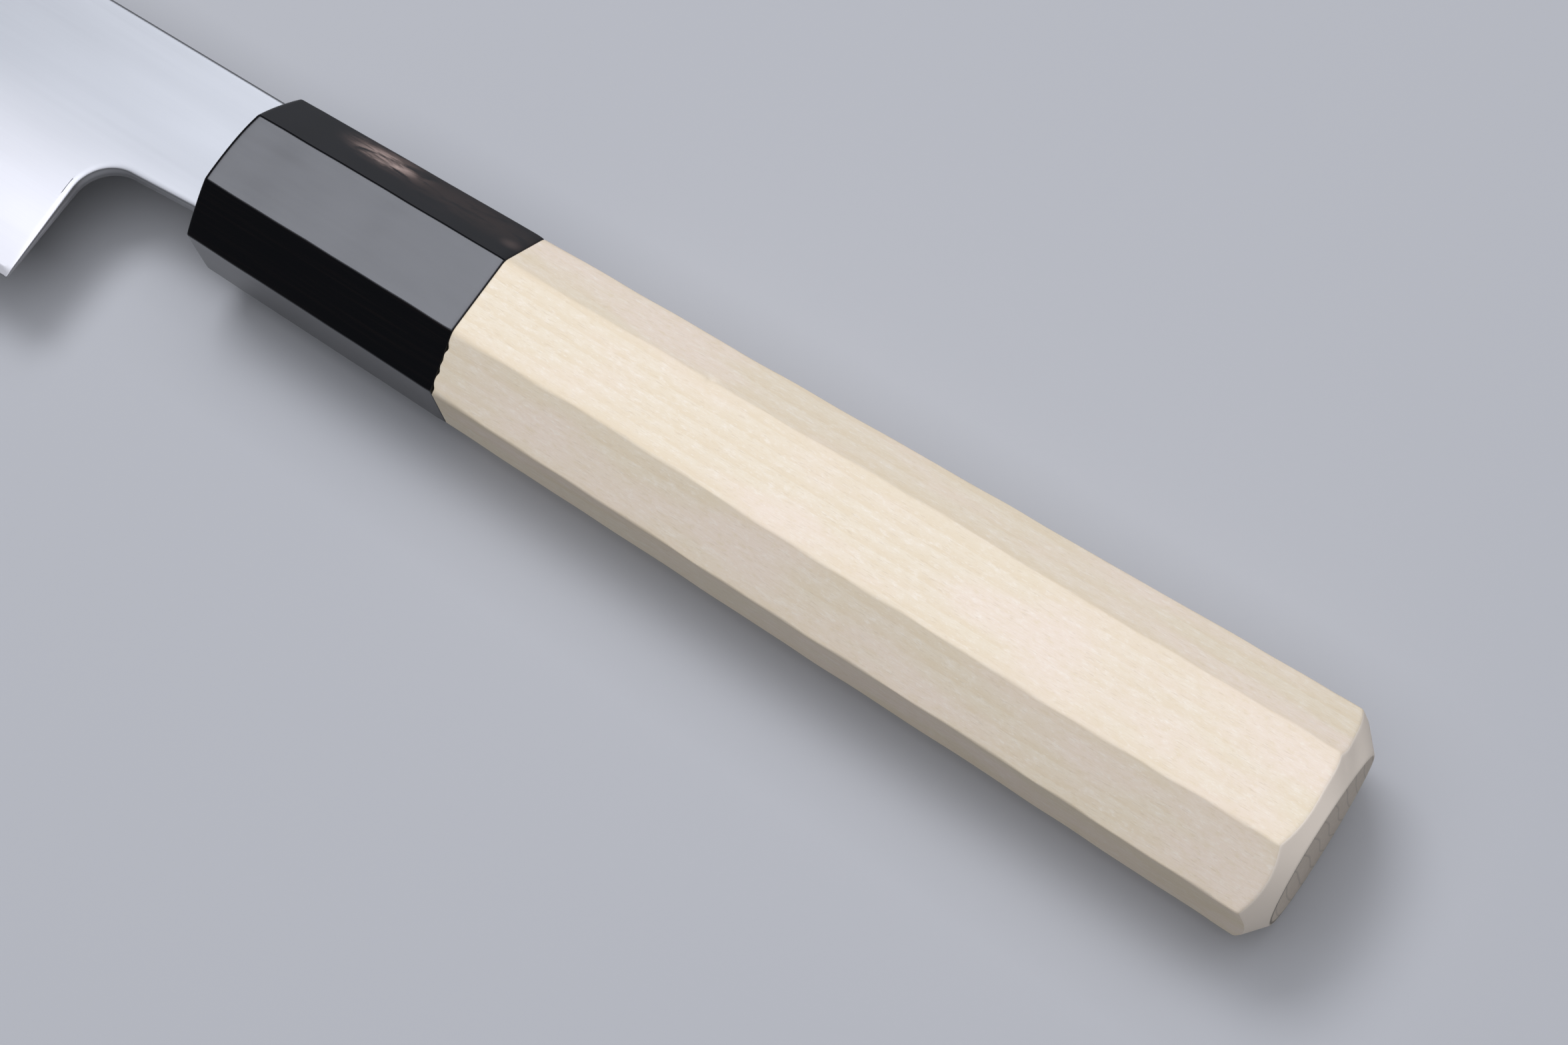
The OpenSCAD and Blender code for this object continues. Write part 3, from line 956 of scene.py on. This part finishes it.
patches = wood.noise((0.05, 0.16, 0.16), detail=2, move=(40, 0, 0))
mottle = wood.noise((0.65, 1.5, 1.5), detail=5, rough=0.75)
fibre = wood.noise((0.30, 8, 8), detail=2, move=(0, 15, 0))
pores = wood.noise((0.85, 11, 11), detail=1, move=(0, 30, 0))
flecks = wood.noise((1.6, 7, 7), detail=1, move=(0, 0, 25))
cut = wood.attribute("cut_across")     # 0 along the grain, 1 on end grain

lengthwise = wood.layers(CREAM, [
    (late_wood, 0.65, WARM),
    (patches.smooth(0.38, 0.66), 1.0, ROSY),
    (mottle.smooth(0.50, 0.28), 0.75, WARM),
    (mottle.smooth(0.50, 0.72), 0.60, FLECK),
    (fibre.smooth(0.48, 0.75), 0.38, WARM),
    (pores.smooth(0.60, 0.74), 0.34, PORE),
    (flecks.smooth(0.64, 0.74), 0.42, FLECK),
    (wood.attribute("worn"), 0.35, WARM),
])
crosswise = wood.layers(ACROSS, [
    (mottle.smooth(0.35, 0.65), 0.25, FLECK),
    (ring_line, 0.40, RING_DARK),
])
end_grain = cut.smooth(0.65, 0.9)
# The bevel's colour is partly painted light: paler than the grain's own tone, for light from the butt's
# side.
colour = wood.blend(cut.smooth(0.5, 0.2), SLANT_AND_LIGHT, lengthwise)
colour = wood.blend(end_grain, colour, crosswise)
# A painted shadow line along the end face's rim, darkest on the edge's side.
colour = wood.blend(wood.attribute("rim") * 0.8, colour, RIM_SHADOW)
wood.bump(fibre * 0.5 + mottle, GRAIN_RELIEF)
wood.finish(handle, colour, 0.55 + 0.12 * mottle + 0.10 * end_grain)

# %% [markdown]
# ## Buffalo horn
#
# The horn is black, dense and polished, so it is almost only its reflections. A coat could give that gloss,
# but a low roughness on the shader itself is enough. Its fibres run along it, too fine to see except as a
# slight unevenness of the polish. On the spine's side one corner face reached the horn's paler layer: a
# marbled streak that fades into brown. It is worked out from stretched noise inside a few ellipsoids, so
# that it has a place of its own and runs on around the arris.

# %% Marbling of the horn
def spot(paint, centre, reach):
    """1 in the middle of an ellipsoid and 0 outside it, by the distance with each axis over its reach."""
    scale = tuple(1 / r for r in reach)
    return paint.distance(scale, centre).smooth(1, 0)


horn = Paint("buffalo_horn", Specular_IOR_Level=0.3)
fibres = horn.noise((0.06, 2.5, 2.5), detail=3)
cloud = horn.noise((0.12, 0.35, 0.35), detail=2)
marble = horn.noise((0.30, 1.1, 1.1), detail=5, rough=0.55, twist=0.5)
tail = spot(horn, centre=(25, 9, 6.5), reach=(19, 4.2, 4.2))               # places and sizes in mm
streak = spot(horn, centre=(14.6, 9.0, 6.1), reach=(8.5, 3.2, 3.2))
core = spot(horn, centre=(14.6, 8.7, 6.2), reach=(5.5, 2.0, 2.0))
small = spot(horn, centre=(33.0, 7.4, 7.8), reach=(1.8, 1.3, 1.3))

# %% The horn's colour and polish
BLACK = (0.0035, 0.0036, 0.0042, 1)
BROWN = (0.024, 0.015, 0.012, 1)
UMBER = (0.085, 0.058, 0.048, 1)
BEIGE = (0.42, 0.31, 0.26, 1)
POLISH_RELIEF = 0.006 * MM

marbled = streak.smooth(0, 0.7) * marble.smooth(0.30, 0.60)
colour = horn.layers(BLACK, [
    (fibres.smooth(0.45, 0.75), 0.12, BROWN),
    (marble.smooth(0.25, 0.6), tail, BROWN),
    (marbled + small * 0.6, 1.0, UMBER),
    (marble.smooth(0.36, 0.68), core.smooth(0, 0.7), BEIGE),
])
horn.bump(fibres * 0.3 + cloud, POLISH_RELIEF)
horn.finish(ferrule, colour, 0.13 + 0.06 * cloud + 0.04 * fibres)

# %% [markdown]
# ## Satin steel
#
# The blade was finished on fine stones along its length. The lines are too fine to see one by one; they
# make its reflections soft. An anisotropic shader could stretch the reflections along the lines, but on a
# nearly flat blade that hardly shows, so a roughness that varies a little does the work. The steel's colour
# is also painted brighter near the edge, a painted highlight for the bright reflection on that part of the
# blade.

# %% Steel
DULL = (0.28, 0.285, 0.29, 1)
BRIGHT = (0.33, 0.335, 0.34, 1)
EDGE_HIGHLIGHT = (0.48, 0.472, 0.475, 1)
HIGHLIGHT_WITHIN = (6, 24)    # mm from the edge: the painted highlight at full strength, and gone
LINE_RELIEF = 0.003 * MM

satin = Paint("satin_steel", Metallic=1.0)
lines = satin.noise((0.02, 7, 7), detail=3)
bands = satin.noise((0.006, 0.5, 0.5), detail=2)
haze = satin.noise((0.03, 0.12, 0.12), detail=2)
away = satin.attribute("edge_distance").smooth(*HIGHLIGHT_WITHIN)
colour = satin.blend(haze * 0.6 + bands * 0.4, DULL, BRIGHT)
# A painted highlight: the steel's colour is brighter near the edge, where its reflection is bright.
colour = satin.blend(1 - away, colour, EDGE_HIGHLIGHT)
satin.bump(lines, LINE_RELIEF)
satin.finish(blade, colour, 0.42 + 0.10 * haze + 0.04 * lines)

# %% [markdown]
# ## Amber resin
#
# Only the mouth of the bedding can be seen, between the neck and the tenon. Real resin lets light in, and a
# transmissive shader could do that, but the gap is under half a millimetre wide and dark behind. So it is
# an opaque brown, clouded by slow noise, with a duller gloss than the horn's.

# %% Resin
AMBER = (0.30, 0.19, 0.08, 1)
HONEY = (0.45, 0.31, 0.15, 1)
cured = Paint("amber_resin", Specular_IOR_Level=0.5)
cloud = cured.noise((0.3, 0.8, 0.8), detail=2)
cured.finish(resin, cured.blend(cloud, AMBER, HONEY), 0.3 + 0.1 * cloud)

# %% [markdown]
# ## Floor, light and camera
#
# The knife lies on a plain pale floor. A sky texture could light it, but then the horn would mirror the
# whole sky. Instead a large panel overhead gives the soft light, and a smaller window above the ferrule
# gives the horn's top face something bright to reflect. Both are a little blue, as daylight is. The camera
# looks down at the handle from beside the butt, with a longer lens and a slight roll.

# %% Floor
FLOOR_HALF = 1.5
FLOOR_GREY = (0.44, 0.44, 0.44, 1)
corners = np.array([[-1, -1, 0], [1, -1, 0], [1, 1, 0], [-1, 1, 0]]) * FLOOR_HALF
floor_mesh = bpy.data.meshes.new("floor")
floor_mesh.from_pydata(corners.tolist(), [], [(0, 1, 2, 3)])
floor = bpy.data.objects.new("floor", floor_mesh)
bpy.context.scene.collection.objects.link(floor)
Paint("pale_floor").finish(floor, FLOOR_GREY, 0.7)

# %% Lights
DAYLIGHT = (0.87, 0.90, 1.0)
ROOM = (0.06, 0.063, 0.070, 1)


def soft_light(name, place, aim, size, power):
    """A rectangular light that faces the point aim. Places and sizes are in metres, power in watts."""
    lamp = bpy.data.lights.new(name, "AREA")
    lamp.shape = "RECTANGLE"
    lamp.size, lamp.size_y = size
    lamp.energy = power
    lamp.color = DAYLIGHT
    holder = bpy.data.objects.new(name, lamp)
    holder.location = place
    holder.rotation_euler = (Vector(aim) - Vector(place)).to_track_quat("-Z", "Y").to_euler()
    bpy.context.scene.collection.objects.link(holder)
    print(f"{name}: {power:.0f} W from {size[0]:.2f} by {size[1]:.2f} m")


soft_light("ceiling_panel", place=(0.12, 0.10, 1.0), aim=(0.12, 0.10, 0), size=(1.34, 1.5), power=12.0)
soft_light("window", place=(-0.30, 0.27, 1.0), aim=(0, 0, 0), size=(0.5, 0.35), power=5.0)

world = bpy.data.worlds.new("room")
world.use_nodes = True
world.node_tree.nodes["Background"].inputs["Color"].default_value = ROOM
bpy.context.scene.world = world
bpy.context.scene.view_settings.view_transform = "Standard"

# %% Camera
AIM = ORIGIN + np.array([74.1, -1.35, 0]) * MM     # the middle of the view, near the middle of the handle
DISTANCE = 353.2 * MM
ELEVATION = np.radians(69.77)
AZIMUTH = np.radians(48.9)
ROLL = np.radians(-15.54)
LENS, SENSOR = 75.9, 36    # focal length and width of the sensor, in mm
NEAREST = 0.01

flat = np.cos(ELEVATION)
back = Vector((np.sin(AZIMUTH) * flat, -np.cos(AZIMUTH) * flat, np.sin(ELEVATION)))   # to the camera
level_right = Vector((0, 0, 1)).cross(back).normalized()
level_top = back.cross(level_right)
right = level_right * np.cos(ROLL) + level_top * np.sin(ROLL)
turned = Matrix((right, back.cross(right), back)).transposed()

lens = bpy.data.cameras.new("camera")
lens.lens = LENS
lens.sensor_width = SENSOR
lens.clip_start = NEAREST
camera = bpy.data.objects.new("camera", lens)
camera.matrix_world = Matrix.Translation(Vector(AIM) + back * DISTANCE) @ turned.to_4x4()
bpy.context.scene.collection.objects.link(camera)
bpy.context.scene.camera = camera
print(f"the camera is {camera.matrix_world.translation.z / MM:.0f} mm above the floor")
